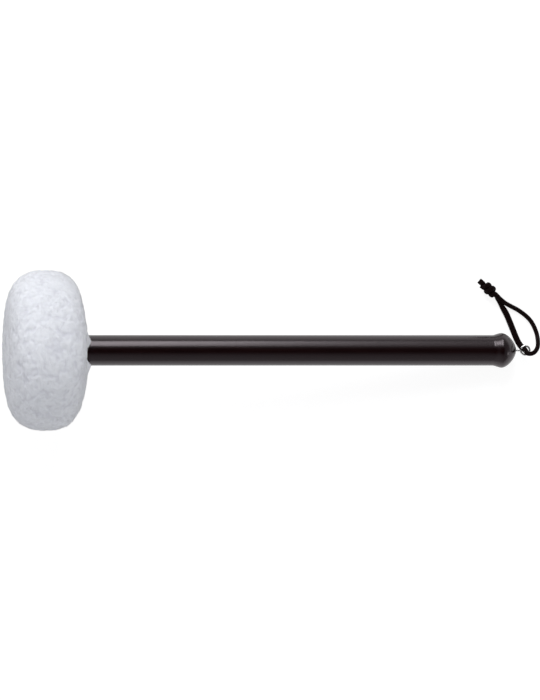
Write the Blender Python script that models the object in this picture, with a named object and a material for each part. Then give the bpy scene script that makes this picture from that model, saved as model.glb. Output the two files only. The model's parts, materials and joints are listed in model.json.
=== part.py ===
"""Gong mallet, lying on a table on its fleece head and on the bulb of its butt.

Units are metres and +Z is up. +X runs along the mallet from the head to the butt, and the table is
the plane z = 0. Every rigid piece is made on the mallet's own axis, where z is the distance from the
middle of the head towards the butt, and hangs on an empty that lays this axis down at its slope.
"""

import math

import bmesh
import bpy
import numpy as np

# Clearance between two pieces that touch on the real mallet
GAP = 0.0003

# Handle: a turned hardwood rod with a tenon at the head and a flared, domed butt
SHAFT_RADIUS = 0.0111
SHAFT_LENGTH = 0.3132
FLARE_LENGTH = 0.0073
BUTT_RADIUS = 0.0127
DOME_LENGTH = 0.0107
DOME_ROUNDNESS = 1.62
TENON_RADIUS = 0.0080
TENON_CHAMFER = 0.0010
SCREW_PILOT_DEPTH = 0.0240

# Head core: a turned hardwood disc with a recess for the weight in front and a bore for the tenon
CORE_RADIUS = 0.0380
CORE_THICKNESS = 0.0276
CORE_EDGE = 0.0025
CORE_WEB = 0.0040
RECESS_DEPTH = 0.0115

# Steel weight, washer and lag screw that clamp the head to the handle
WEIGHT_RADIUS = 0.0220
WEIGHT_THICKNESS = 0.0060
WEIGHT_CHAMFER = 0.0006
WASHER_RADIUS = 0.0090
WASHER_THICKNESS = 0.0012
SCREW_RADIUS = 0.0030
SCREW_POINT_LENGTH = 0.0060
SCREW_HEAD_RADIUS = 0.0058
SCREW_HEAD_HEIGHT = 0.0030
SCREW_HOLE_CLEARANCE = 0.0004

# Felt: a pad on each face of the core and a band round its rim
PAD_THICKNESS = 0.0045
PAD_RADIUS = 0.0440
PAD_EDGE = 0.0015
BAND_THICKNESS = 0.0100
BAND_EDGE = 0.0020

# Fleece cover: a sock drawn over the felt and gathered round the handle
FLEECE_THICKNESS = 0.0099
FRONT_FULLNESS = (4.5, 2.3)
BACK_FULLNESS = (3.8, 2.7)
NECK_HEIGHT = 0.0038
NECK_LIP = 0.0030
NECK_SPREAD = 0.0100
RESTING_FLAT_DEPTH = 0.0005

# Draw thread in the hem of the fleece
THREAD_RADIUS = 0.0008
THREAD_SET_BACK = 0.0070

# Screw eye in the butt
EYE_WIRE_RADIUS = 0.00075
EYE_RING_RADIUS = 0.0033
EYE_NECK_BEND = 0.0016
EYE_STANDOFF = 0.0068
EYE_SHANK_DEPTH = 0.0150
EYE_END_ANGLE = math.radians(-63)

# Wrist cord: one length of cord through the eye, tied to itself
CORD_RADIUS = 0.0014
CORD_STEP = 0.0034
KNOT_SQUEEZE = 0.78
KNOT_TURNS = 2.5
KNOT_POINTS_PER_TURN = 14
KNOT_GAP = 0.00062
KNOT_CENTRE = (-0.0268, 0.0446)
KNOT_DIRECTION = math.radians(134)
KNOT_LENGTH = 0.0088
LONG_TAIL = 0.0048
SHORT_TAIL = 0.0022
TABLE_CLEARANCE = 0.0001

# Route of the cord's two legs: x and y from the ring's centre, z above the table. The first leg runs
# from the knot down under the ring's wire, and the second one over the wire and back to the knot.
LEG_UNDER_THE_WIRE = (
    (-0.0208, 0.0378, 0.00265),
    (-0.0183, 0.0349, 0.00195),
    (-0.0162, 0.0312, 0.00160),
    (-0.0136, 0.0265, 0.00150),
    (-0.0111, 0.0207, 0.00150),
    (-0.0088, 0.0149, 0.00150),
    (-0.0069, 0.0102, 0.00155),
    (-0.0057, 0.0074, 0.00195),
    (-0.0044, 0.0050, 0.00310),
    (-0.0030, 0.0030, 0.00500),
)
THROUGH_THE_RING = (
    (-0.0016, 0.0015, 0.00725),
    (0.0000, 0.0000, 0.01020),
    (0.0016, -0.0014, 0.01315),
)
LEG_OVER_THE_WIRE = (
    (0.0030, -0.0025, 0.01510),
    (0.0048, -0.0031, 0.01625),
    (0.0067, -0.0024, 0.01640),
    (0.0082, -0.0005, 0.01530),
    (0.0090, 0.0020, 0.01310),
    (0.0092, 0.0046, 0.01080),
    (0.0091, 0.0072, 0.00830),
    (0.0089, 0.0098, 0.00600),
    (0.0084, 0.0124, 0.00410),
    (0.0075, 0.0151, 0.00275),
    (0.0063, 0.0179, 0.00190),
    (0.0047, 0.0207, 0.00155),
    (0.0022, 0.0237, 0.00150),
    (-0.0010, 0.0265, 0.00150),
    (-0.0051, 0.0295, 0.00150),
    (-0.0098, 0.0326, 0.00155),
    (-0.0138, 0.0358, 0.00195),
    (-0.0172, 0.0398, 0.00290),
)

# Facets round each piece
SHAFT_FACETS = 48
HEAD_FACETS = 40
SMALL_FACETS = 24


def clear_scene():
    for thing in list(bpy.data.objects):
        bpy.data.objects.remove(thing, do_unlink=True)


def make_material(name, colour, roughness, metallic=0.0):
    material = bpy.data.materials.new(name)
    material.use_nodes = True
    shader = material.node_tree.nodes["Principled BSDF"]
    shader.inputs["Base Color"].default_value = (*colour, 1.0)
    shader.inputs["Roughness"].default_value = roughness
    shader.inputs["Metallic"].default_value = metallic
    material.diffuse_color = (*colour, 1.0)
    return material


def place(thing, parent, material=None):
    """Links an object under its parent and gives it its material."""
    bpy.context.scene.collection.objects.link(thing)
    thing.parent = parent
    if material:
        thing.data.materials.append(material)
    return thing


def turned(name, profile, facets, parent, material, ring=False):
    """A piece off the lathe: the profile's (radius, z) points spun about the mallet's axis."""
    bm = bmesh.new()
    points = [bm.verts.new((radius, 0.0, z)) for radius, z in profile]
    follow = points[1:] + points[:1] if ring else points[1:]
    edges = [bm.edges.new(pair) for pair in zip(points, follow)]
    bmesh.ops.spin(
        bm, geom=points + edges, cent=(0, 0, 0), axis=(0, 0, 1), angle=2 * math.pi, steps=facets
    )
    bmesh.ops.remove_doubles(bm, verts=bm.verts, dist=1e-6)
    bmesh.ops.recalc_face_normals(bm, faces=bm.faces)
    mesh = bpy.data.meshes.new(name)
    bm.to_mesh(mesh)
    bm.free()
    mesh.shade_smooth()
    mesh.set_sharp_from_angle(angle=math.radians(40))
    return place(bpy.data.objects.new(name, mesh), parent, material)


def tube(name, points, radii, wire_radius, parent, material):
    """A cord or wire: a round bar of wire_radius along the points, scaled at each by its radii."""
    curve = bpy.data.curves.new(name, "CURVE")
    curve.dimensions = "3D"
    curve.bevel_depth = wire_radius
    curve.bevel_resolution = 2
    curve.use_fill_caps = True
    spline = curve.splines.new("POLY")
    spline.points.add(len(points) - 1)
    for point, centre, scale in zip(spline.points, points, radii):
        point.co = (*centre, 1.0)
        point.radius = scale
    return place(bpy.data.objects.new(name, curve), parent, material)


def arc(centre, radius, start, end, steps):
    """(radius, z) points of an arc about centre, its ends included."""
    angles = np.linspace(start, end, steps + 1)
    return [(centre[0] + radius * math.cos(a), centre[1] + radius * math.sin(a)) for a in angles]


def rounded_ring(inner, outer, bottom, top, edge, steps=3):
    """A closed profile with rounded outer corners, from the top of its bore round to the bottom."""
    quarter = math.pi / 2
    return (
        [(inner, top)]
        + arc((outer - edge, top - edge), edge, quarter, 0, steps)
        + arc((outer - edge, bottom + edge), edge, 0, -quarter, steps)
        + [(inner, bottom)]
    )


# Stations along the mallet's axis, worked out from the core outwards
core_front = -CORE_THICKNESS / 2
core_back = CORE_THICKNESS / 2
recess_floor = core_front + RECESS_DEPTH
tenon_bore_end = recess_floor + CORE_WEB
weight_back = recess_floor - GAP
weight_front = weight_back - WEIGHT_THICKNESS
washer_back = weight_front - GAP
washer_front = washer_back - WASHER_THICKNESS
screw_head_back = washer_front - GAP
screw_head_front = screw_head_back - SCREW_HEAD_HEIGHT
shoulder = core_back + GAP
tenon_end = tenon_bore_end + GAP
screw_pilot_end = tenon_end + SCREW_PILOT_DEPTH
flare_start = shoulder + SHAFT_LENGTH
butt_crest = flare_start + FLARE_LENGTH
butt_end = butt_crest + DOME_LENGTH
ring_centre_z = butt_end + EYE_STANDOFF
eye_pilot_end = butt_end - EYE_SHANK_DEPTH - GAP

# Radii that one piece takes from another
handle_bore = SHAFT_RADIUS + GAP
screw_hole = SCREW_RADIUS + SCREW_HOLE_CLEARANCE
eye_pilot = EYE_WIRE_RADIUS + GAP
band_inner = CORE_RADIUS + GAP
band_outer = band_inner + BAND_THICKNESS
cavity_radius = band_outer + GAP
cavity_half_depth = core_back + GAP + PAD_THICKNESS + GAP
head_radius = cavity_radius + FLEECE_THICKNESS
head_half_depth = cavity_half_depth + FLEECE_THICKNESS
neck_end = head_half_depth + NECK_HEIGHT
thread_z = neck_end - THREAD_SET_BACK


def butt_profile():
    """The flare and the dome, from the end of the pilot hole's mouth back to the straight shaft."""
    mouth = eye_pilot / BUTT_RADIUS
    dome = []
    for share in np.linspace(0, 1, 12):
        # Even steps of angle keep the dome's facets of like size.
        angle = share * math.pi / 2
        across = max(mouth, math.sin(angle) ** (2 / DOME_ROUNDNESS))
        along = max(0.0, 1 - across**DOME_ROUNDNESS) ** (1 / DOME_ROUNDNESS)
        dome.append((BUTT_RADIUS * across, butt_crest + DOME_LENGTH * along))
    dome = [point for i, point in enumerate(dome) if i == 0 or point[0] > dome[i - 1][0] + 1e-6]
    flare = []
    for share in np.linspace(1, 0, 8)[1:]:
        swell = share * share * (3 - 2 * share)
        radius = SHAFT_RADIUS + (BUTT_RADIUS - SHAFT_RADIUS) * swell
        flare.append((radius, flare_start + FLARE_LENGTH * share))
    return dome + flare


def handle_profile():
    """The whole rod, from the floor of the screw eye's pilot hole to the floor of the lag screw's."""
    straight = [(SHAFT_RADIUS, z) for z in np.linspace(flare_start, shoulder, 5)[1:]]
    return (
        [(0.0, eye_pilot_end), (eye_pilot, eye_pilot_end)]
        + butt_profile()
        + straight
        + [
            (TENON_RADIUS, shoulder),
            (TENON_RADIUS, tenon_end + TENON_CHAMFER),
            (TENON_RADIUS - TENON_CHAMFER, tenon_end),
            (screw_hole, tenon_end),
            (screw_hole, screw_pilot_end),
            (0.0, screw_pilot_end),
        ]
    )


def fleece_outline():
    """The fleece's outer side, from the neck's lip over the crown to the middle of the front.

    Each half is a superellipse: the share of the head's depth to one power and the share of its
    radius to another add up to one. Near the handle the gathered neck stands out from the back.
    """

    def half(fullness, shares):
        across, along = fullness
        depths = np.sin(shares * math.pi / 2)
        radii = head_radius * (1 - depths**along) ** (1 / across)
        return radii, head_half_depth * depths

    back_radii, back_z = half(BACK_FULLNESS, np.linspace(0.90, 0, 11))
    neck_radius = handle_bore + NECK_LIP
    back_z = back_z + NECK_HEIGHT * np.exp(-(back_radii - neck_radius) / NECK_SPREAD)
    front_radii, front_z = half(FRONT_FULLNESS, np.linspace(0, 1, 12)[1:])
    lip = arc((neck_radius, neck_end - NECK_LIP), NECK_LIP, math.pi, math.pi / 2, 3)
    return lip + list(zip(back_radii, back_z)) + list(zip(front_radii, -front_z))


def fleece_profile():
    """The sock: the cavity for the felt, the neck's bore with the hem's groove, then the outer side."""
    groove_radius = handle_bore + 2 * THREAD_RADIUS + 2 * GAP
    groove_half = THREAD_RADIUS + GAP
    inside = [
        (0.0, -cavity_half_depth),
        (PAD_RADIUS + GAP, -cavity_half_depth),
        (cavity_radius, core_front - GAP),
        (cavity_radius, core_back + GAP),
        (PAD_RADIUS + GAP, cavity_half_depth),
        (handle_bore, cavity_half_depth),
        (handle_bore, thread_z - groove_half),
        (groove_radius, thread_z - groove_half),
        (groove_radius, thread_z + groove_half),
        (handle_bore, thread_z + groove_half),
    ]
    return inside + fleece_outline()


def slope_of_the_axis():
    """The slope and the height at which the head's rim and the butt's bulb both meet the table.

    A turned piece's lowest point below the axis is the largest of r cos + z sin over its profile.
    The fleece gives by the depth of its flat, so its reach is that much less.
    """
    rim = np.array(fleece_outline())
    bulb = np.array(butt_profile())

    def reach(profile, slope):
        return (profile[:, 0] * math.cos(slope) + profile[:, 1] * math.sin(slope)).max()

    low, high = 0.0, math.radians(30)
    for _ in range(60):
        slope = (low + high) / 2
        if reach(bulb, slope) > reach(rim, slope) - RESTING_FLAT_DEPTH:
            high = slope
        else:
            low = slope
    return slope, reach(bulb, slope)


def build_handle(mallet):
    lacquer = make_material("black_lacquered_maple", (0.014, 0.009, 0.010), 0.22)
    return turned("handle", handle_profile(), SHAFT_FACETS, mallet, lacquer)


def build_core(mallet):
    maple = make_material("bare_maple", (0.62, 0.43, 0.25), 0.60)
    edge = CORE_EDGE
    rim_back = arc((CORE_RADIUS - edge, core_back - edge), edge, math.pi / 2, 0, 3)
    rim_front = arc((CORE_RADIUS - edge, core_front + edge), edge, 0, -math.pi / 2, 3)
    tenon_bore = TENON_RADIUS + GAP
    recess_radius = WEIGHT_RADIUS + GAP
    profile = (
        [(tenon_bore, tenon_bore_end), (tenon_bore, core_back)]
        + rim_back
        + rim_front
        + [
            (recess_radius, core_front),
            (recess_radius, recess_floor),
            (screw_hole, recess_floor),
            (screw_hole, tenon_bore_end),
        ]
    )
    return turned("head_core", profile, HEAD_FACETS, mallet, maple, ring=True)


def build_weight(mallet):
    steel = make_material("blackened_steel", (0.12, 0.12, 0.13), 0.45, 1.0)
    cut = WEIGHT_CHAMFER
    profile = [
        (screw_hole, weight_back),
        (WEIGHT_RADIUS - cut, weight_back),
        (WEIGHT_RADIUS, weight_back - cut),
        (WEIGHT_RADIUS, weight_front + cut),
        (WEIGHT_RADIUS - cut, weight_front),
        (screw_hole, weight_front),
    ]
    return turned("head_weight", profile, HEAD_FACETS, mallet, steel, ring=True)


def build_washer(mallet):
    zinc = make_material("zinc_plated_washer", (0.55, 0.56, 0.58), 0.35, 1.0)
    profile = [
        (screw_hole, washer_back),
        (WASHER_RADIUS, washer_back),
        (WASHER_RADIUS, washer_front),
        (screw_hole, washer_front),
    ]
    return turned("core_washer", profile, SMALL_FACETS, mallet, zinc, ring=True)


def build_lag_screw(mallet):
    zinc = make_material("zinc_plated_screw", (0.50, 0.51, 0.53), 0.35, 1.0)
    point_end = screw_pilot_end - GAP
    buried = screw_head_back - SCREW_HEAD_HEIGHT / 2
    shank = [
        (0.0, point_end),
        (SCREW_RADIUS, point_end - SCREW_POINT_LENGTH),
        (SCREW_RADIUS, buried),
        (0.0, buried),
    ]
    screw = turned("core_screw", shank, SMALL_FACETS, mallet, zinc)
    bm = bmesh.new()
    bmesh.ops.create_cone(
        bm,
        cap_ends=True,
        segments=6,
        radius1=SCREW_HEAD_RADIUS,
        radius2=SCREW_HEAD_RADIUS,
        depth=SCREW_HEAD_HEIGHT,
    )
    bmesh.ops.translate(bm, verts=bm.verts, vec=(0, 0, (screw_head_front + screw_head_back) / 2))
    mesh = bpy.data.meshes.new("hexagon_head")
    bm.to_mesh(mesh)
    bm.free()
    head = hidden_tool("hexagon_head", mesh, mallet)
    union = screw.modifiers.new("hexagon_head", "BOOLEAN")
    union.operation = "UNION"
    union.object = head
    return screw


def hidden_tool(name, mesh, parent):
    """A helper that a Boolean reads and nobody sees."""
    tool = place(bpy.data.objects.new(name, mesh), parent)
    tool.hide_render = True
    tool.display_type = "WIRE"
    return tool


def build_felt(mallet):
    felt = make_material("white_felt", (0.74, 0.73, 0.70), 0.95)
    front = rounded_ring(0.0, PAD_RADIUS, core_front - GAP - PAD_THICKNESS, core_front - GAP, PAD_EDGE)
    back = rounded_ring(handle_bore, PAD_RADIUS, core_back + GAP, core_back + GAP + PAD_THICKNESS, PAD_EDGE)
    band = rounded_ring(band_inner, band_outer, core_front, core_back, BAND_EDGE)
    turned("felt_front_pad", front, HEAD_FACETS, mallet, felt)
    turned("felt_rear_pad", back, HEAD_FACETS, mallet, felt, ring=True)
    turned("felt_band", band, HEAD_FACETS, mallet, felt, ring=True)


def build_fleece(mallet, table):
    wool = make_material("white_fleece", (0.86, 0.87, 0.90), 0.95)
    fleece = turned("fleece_cover", fleece_profile(), HEAD_FACETS, mallet, wool)
    bm = bmesh.new()
    bmesh.ops.create_cube(bm, size=1.0)
    block = 4 * head_radius
    bmesh.ops.scale(bm, verts=bm.verts, vec=(block, block, block))
    bmesh.ops.translate(bm, verts=bm.verts, vec=(0, 0, -block / 2))
    mesh = bpy.data.meshes.new("below_the_table")
    bm.to_mesh(mesh)
    bm.free()
    below = hidden_tool("below_the_table", mesh, table)
    flat = fleece.modifiers.new("resting_flat", "BOOLEAN")
    flat.operation = "DIFFERENCE"
    flat.object = below
    return fleece


def build_draw_thread(mallet):
    cotton = make_material("waxed_thread", (0.80, 0.78, 0.72), 0.70)
    middle = (handle_bore + GAP + THREAD_RADIUS, thread_z)
    profile = arc(middle, THREAD_RADIUS, math.pi, -math.pi, 8)[:-1]
    return turned("draw_thread", profile, HEAD_FACETS, mallet, cotton, ring=True)


def build_screw_eye(mallet):
    """One wire: the shank, a small bend off its line and then the ring, which stops short of it."""
    nickel = make_material("nickel_plated_steel", (0.66, 0.66, 0.68), 0.18, 1.0)
    bend = EYE_NECK_BEND
    ring = EYE_RING_RADIUS
    drop = math.sqrt((ring + bend) ** 2 - bend**2)
    bend_centre = (-bend, ring_centre_z - drop)
    meeting = math.atan2(drop, bend)
    shank_start = butt_end - EYE_SHANK_DEPTH
    shank = [(0.0, shank_start), (0.0, (shank_start + butt_end) / 2)]
    neck = arc(bend_centre, bend, 0, meeting, 4)
    round_the_ring = arc(
        (0.0, ring_centre_z), ring, meeting - math.pi, EYE_END_ANGLE - 2 * math.pi, 28
    )
    # The ring lies in the plane of the mallet's axis and the table's y, so it faces up.
    points = [(0.0, across, along) for across, along in shank + neck + round_the_ring[1:]]
    scales = [1.0] * len(points)
    return tube("screw_eye", points, scales, EYE_WIRE_RADIUS, mallet, nickel)


def smooth_curve(points, step):
    """Points a step apart on the Catmull-Rom curve through the points given."""
    ends = [2 * points[0] - points[1], *points, 2 * points[-1] - points[-2]]
    fine = []
    for a, b, c, d in zip(ends, ends[1:], ends[2:], ends[3:]):
        for t in np.linspace(0, 1, 24, endpoint=False):
            bend = 2 * a - 5 * b + 4 * c - d
            twist = 3 * b - a - 3 * c + d
            fine.append(b + 0.5 * t * ((c - a) + t * (bend + t * twist)))
    fine = np.array(fine + [points[-1]])
    along = np.concatenate([[0], np.cumsum(np.linalg.norm(np.diff(fine, axis=0), axis=1))])
    stations = np.linspace(0, along[-1], max(2, round(along[-1] / step) + 1))
    return np.column_stack([np.interp(stations, along, fine[:, i]) for i in range(3)])


def knot_points():
    """The straight core strand and the strand that winds round it, both in route coordinates.

    The winding strand starts on the core's right-hand side and moves along it by a strand's thickness
    and a small gap each turn; its tail then runs on beside the core.
    """
    forward = np.array([math.cos(KNOT_DIRECTION), math.sin(KNOT_DIRECTION), 0.0])
    right = np.array([math.sin(KNOT_DIRECTION), -math.cos(KNOT_DIRECTION), 0.0])
    up = np.array([0.0, 0.0, 1.0])
    strand = CORD_RADIUS * KNOT_SQUEEZE
    winding = 2 * strand + KNOT_GAP
    middle = np.array([*KNOT_CENTRE, winding + strand + TABLE_CLEARANCE])
    half = KNOT_LENGTH / 2
    core = [middle + forward * s for s in (half + LONG_TAIL, half, 0.0, -half)]
    steps = round(KNOT_TURNS * KNOT_POINTS_PER_TURN)
    wrapped = KNOT_TURNS * winding
    turn = []
    for i in range(steps + 1):
        share = i / steps
        angle = 2 * math.pi * KNOT_TURNS * share
        offset = right * math.cos(angle) + up * math.sin(angle)
        turn.append(middle + forward * (share - 0.5) * wrapped + offset * winding)
    lead_in = turn[0] - forward * (half - wrapped / 2)
    tail = turn[-1] + forward * SHORT_TAIL
    return core, lead_in, turn, tail


def cord_route():
    """The cord's centre line from its long tail to its short one, and each point's thickness."""
    core, lead_in, turn, tail = knot_points()
    legs = [np.array(p) for p in (*LEG_UNDER_THE_WIRE, *THROUGH_THE_RING, *LEG_OVER_THE_WIRE)]
    free = smooth_curve([core[-1], *legs, lead_in], CORD_STEP)
    points = np.array([*core[:-1], *free, *turn, tail])
    scales = np.ones(len(points))
    scales[: len(core)] = KNOT_SQUEEZE
    scales[-len(turn) - 2 :] = KNOT_SQUEEZE
    return points, scales


def least_gap(points, scales):
    """The least distance between two stretches of the cord that aren't neighbours along it."""
    along = np.concatenate([[0], np.cumsum(np.linalg.norm(np.diff(points, axis=0), axis=1))])
    stations = np.arange(0, along[-1], CORD_RADIUS / 4)
    fine = np.column_stack([np.interp(stations, along, points[:, i]) for i in range(3)])
    radii = CORD_RADIUS * np.interp(stations, along, scales)
    apart = np.linalg.norm(fine[:, None] - fine[None], axis=2) - radii[:, None] - radii[None]
    far = np.abs(stations[:, None] - stations[None]) > 6 * CORD_RADIUS
    return apart[far].min(), along[-1]


def build_cord(swivel, ring_height):
    nylon = make_material("black_braided_nylon", (0.012, 0.011, 0.012), 0.60)
    points, scales = cord_route()
    gap, length = least_gap(points, scales)
    print(f"wrist_cord: {len(points)} points, {length * 1000:.1f} mm long")
    print(f"wrist_cord: least gap to itself {gap * 1000:.2f} mm")
    local = points - np.array([0.0, 0.0, ring_height])
    return tube("wrist_cord", local, scales, CORD_RADIUS, swivel, nylon)


def centre_over_origin(table, rigid):
    """Moves the whole mallet along the table until its rigid pieces are centred over the origin."""
    bpy.context.view_layer.update()
    graph = bpy.context.evaluated_depsgraph_get()
    corners = []
    for thing in rigid:
        shape = thing.evaluated_get(graph)
        mesh = shape.to_mesh()
        corners += [(shape.matrix_world @ vertex.co)[:2] for vertex in mesh.vertices]
        shape.to_mesh_clear()
    corners = np.array(corners)
    middle = (corners.min(axis=0) + corners.max(axis=0)) / 2
    table.location.x -= middle[0]
    table.location.y -= middle[1]
    return middle


def build_mallet():
    clear_scene()
    slope, height = slope_of_the_axis()
    table = place(bpy.data.objects.new("on_the_table", None), None)
    mallet = place(bpy.data.objects.new("mallet_axis", None), table)
    mallet.location = (0.0, 0.0, height)
    mallet.rotation_euler = (0.0, math.pi / 2 + slope, 0.0)
    ring_height = height - ring_centre_z * math.sin(slope)
    swivel = place(bpy.data.objects.new("loop_swivel", None), table)
    swivel.location = (ring_centre_z * math.cos(slope), 0.0, ring_height)
    print(f"axis slopes {math.degrees(slope):.2f} degrees, ring {ring_height * 1000:.2f} mm up")

    handle = build_handle(mallet)
    build_core(mallet)
    build_weight(mallet)
    build_washer(mallet)
    build_lag_screw(mallet)
    build_felt(mallet)
    fleece = build_fleece(mallet, table)
    build_draw_thread(mallet)
    eye = build_screw_eye(mallet)
    build_cord(swivel, ring_height)
    shift = centre_over_origin(table, [handle, fleece, eye])
    print(f"ring centre at x = {(swivel.location.x - shift[0]) * 1000:.2f} mm")


build_mallet()
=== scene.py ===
"""Looks of a gong mallet: a white fleece head, a black lacquered handle and a braided wrist cord.

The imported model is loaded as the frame, in metres, and each piece is made in its place on it. The
sections follow the mallet as it is put together, from the core of its head to the cord at its butt.
"""

import itertools
import json
import math

import bpy
import numpy as np
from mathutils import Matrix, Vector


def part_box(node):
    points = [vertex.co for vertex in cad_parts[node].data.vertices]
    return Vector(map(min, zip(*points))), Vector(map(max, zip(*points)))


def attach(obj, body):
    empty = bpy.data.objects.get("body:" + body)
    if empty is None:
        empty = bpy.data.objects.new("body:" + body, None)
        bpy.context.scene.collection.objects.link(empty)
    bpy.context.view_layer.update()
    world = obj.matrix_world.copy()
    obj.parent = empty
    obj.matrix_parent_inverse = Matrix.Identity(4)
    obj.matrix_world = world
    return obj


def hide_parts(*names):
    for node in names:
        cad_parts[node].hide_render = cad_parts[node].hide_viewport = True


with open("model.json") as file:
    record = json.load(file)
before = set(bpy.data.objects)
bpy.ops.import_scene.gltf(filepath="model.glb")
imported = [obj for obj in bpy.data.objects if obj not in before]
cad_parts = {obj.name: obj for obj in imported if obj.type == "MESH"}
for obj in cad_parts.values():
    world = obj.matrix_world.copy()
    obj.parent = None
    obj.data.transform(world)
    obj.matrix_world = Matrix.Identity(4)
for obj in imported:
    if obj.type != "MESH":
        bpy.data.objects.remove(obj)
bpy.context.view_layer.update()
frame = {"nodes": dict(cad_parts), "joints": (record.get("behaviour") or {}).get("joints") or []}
nodes = frame["nodes"]


# Core of the head: a disc turned from maple, with a recess in front for the weight. The lag screw
# clamps weight and core to the end of the handle. All of it is out of sight under felt and fleece.
MAPLE_LIGHT = (0.66, 0.46, 0.27, 1.0)
MAPLE_DARK = (0.50, 0.33, 0.18, 1.0)
IRON = (0.10, 0.10, 0.11, 1.0)
IRON_WORN = (0.22, 0.21, 0.21, 1.0)
ZINC = (0.58, 0.60, 0.63, 1.0)
ZINC_DULL = (0.42, 0.44, 0.47, 1.0)


def box_middle(node):
    """The middle of a CAD node's box."""
    node_low, node_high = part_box(node)
    return np.array(node_low + node_high) / 2


# The mallet's axis runs from the middle of the head to the butt and slopes down to the table. The
# felt band and the draw thread are both rings round it, so their middles lie on it.
head_middle = box_middle("felt_band")
head_to_neck = box_middle("draw_thread") - head_middle
axis = head_to_neck / np.linalg.norm(head_to_neck)
axis_slope = math.atan2(-axis[2], axis[0])


def new_finish(name, **sockets):
    """A material with its Principled shader, whose sockets are set by name (spaces as underscores)."""
    material = bpy.data.materials.new(name)
    material.use_nodes = True
    shader = material.node_tree.nodes["Principled BSDF"]
    for socket, value in sockets.items():
        shader.inputs[socket.replace("_", " ")].default_value = value
    return material, material.node_tree, shader


def add(tree, kind, inputs=None, **settings):
    """Adds a node. An input given a socket is linked to it, and any other value is set."""
    made = tree.nodes.new(kind)
    for name, value in settings.items():
        setattr(made, name, value)
    for name, value in (inputs or {}).items():
        if isinstance(value, bpy.types.NodeSocket):
            tree.links.new(value, made.inputs[name])
        else:
            made.inputs[name].default_value = value
    return made


def along_the_axis(tree, stretch=(1.0, 1.0, 1.0)):
    """Object coordinates turned so that x runs along the mallet's axis, then scaled by stretch."""
    place = add(tree, "ShaderNodeTexCoord").outputs["Object"]
    turned = add(tree, "ShaderNodeMapping", {"Vector": place, "Rotation": (0, -axis_slope, 0)})
    return add(tree, "ShaderNodeMapping", {"Vector": turned.outputs[0], "Scale": stretch}).outputs[0]


def ramp(tree, factor, *stops):
    """A colour ramp over (position, colour) stops."""
    made = add(tree, "ShaderNodeValToRGB", {"Fac": factor})
    band = made.color_ramp
    while len(band.elements) < len(stops):
        band.elements.new(0.5)
    for element, (position, colour) in zip(band.elements, stops):
        element.position = position
        element.color = colour
    return made.outputs["Color"]


def grade(tree, factor, low, high):
    """A number that runs from low to high as the factor runs from 0 to 1."""
    return add(tree, "ShaderNodeMapRange", {"Value": factor, "To Min": low, "To Max": high}).outputs[0]


def bump(tree, shader, height, depth):
    """Lets a height from 0 to 1 stand for a relief of that depth in metres."""
    made = add(tree, "ShaderNodeBump", {"Height": height, "Distance": depth})
    tree.links.new(made.outputs[0], shader.inputs["Normal"])


def maple_finish():
    """Bare maple: long soft grain along the axis and the faint rings that the lathe tool leaves."""
    material, tree, shader = new_finish("bare_maple", Roughness=0.6)
    grain_place = along_the_axis(tree, (1.0, 14.0, 14.0))
    grain = add(tree, "ShaderNodeTexNoise", {"Vector": grain_place, "Scale": 60.0, "Detail": 6.0})
    colour = ramp(tree, grain.outputs["Fac"], (0.3, MAPLE_DARK), (0.65, MAPLE_LIGHT))
    tree.links.new(colour, shader.inputs["Base Color"])
    cuts_place = along_the_axis(tree, (1.0, 0.02, 0.02))
    cuts = add(tree, "ShaderNodeTexNoise", {"Vector": cuts_place, "Scale": 2200.0, "Detail": 2.0})
    bump(tree, shader, cuts.outputs["Fac"], 0.00005)
    return material


def metal_finish(name, bright, dull, roughness, patch):
    """Metal with cloudy patches of a duller tone, rougher where it is dull, and a fine pitted skin."""
    material, tree, shader = new_finish(name, Metallic=1.0)
    place = add(tree, "ShaderNodeTexCoord").outputs["Object"]
    cloud = add(tree, "ShaderNodeTexNoise", {"Vector": place, "Scale": 1 / patch, "Detail": 5.0})
    tree.links.new(
        ramp(tree, cloud.outputs["Fac"], (0.35, dull), (0.62, bright)), shader.inputs["Base Color"]
    )
    tree.links.new(
        grade(tree, cloud.outputs["Fac"], roughness * 1.3, roughness * 0.7),
        shader.inputs["Roughness"],
    )
    pits = add(tree, "ShaderNodeTexNoise", {"Vector": place, "Scale": 9 / patch, "Detail": 3.0})
    bump(tree, shader, pits.outputs["Fac"], 0.00003)
    return material


def refinish(node, material):
    """Gives a CAD node its material and leaves its mesh alone."""
    nodes[node].material_slots[0].material = material


refinish("head_core", maple_finish())
refinish("head_weight", metal_finish("black_iron", IRON_WORN, IRON, roughness=0.5, patch=0.006))
zinc_plate = metal_finish("zinc_plate", ZINC, ZINC_DULL, roughness=0.35, patch=0.003)
refinish("core_washer", zinc_plate)
refinish("core_screw", zinc_plate)


# Felt: pressed white wool, cut as two pads and a band and glued round the core. It is what gives
# under the fleece when the mallet strikes.
FELT_LIGHT = (0.78, 0.77, 0.73, 1.0)
FELT_SHADE = (0.66, 0.65, 0.61, 1.0)


def felt_finish():
    """Pressed felt: matted fibres as a fine distorted noise, with a soft sheen."""
    material, tree, shader = new_finish("pressed_felt", Roughness=0.95, Sheen_Weight=0.3)
    place = add(tree, "ShaderNodeTexCoord").outputs["Object"]
    matted = add(
        tree,
        "ShaderNodeTexNoise",
        {"Vector": place, "Scale": 900.0, "Detail": 6.0, "Distortion": 1.5},
    )
    colour = ramp(tree, matted.outputs["Fac"], (0.3, FELT_SHADE), (0.7, FELT_LIGHT))
    tree.links.new(colour, shader.inputs["Base Color"])
    bump(tree, shader, matted.outputs["Fac"], 0.0003)
    return material


felt = felt_finish()
for pad in ("felt_front_pad", "felt_rear_pad", "felt_band"):
    refinish(pad, felt)


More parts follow.
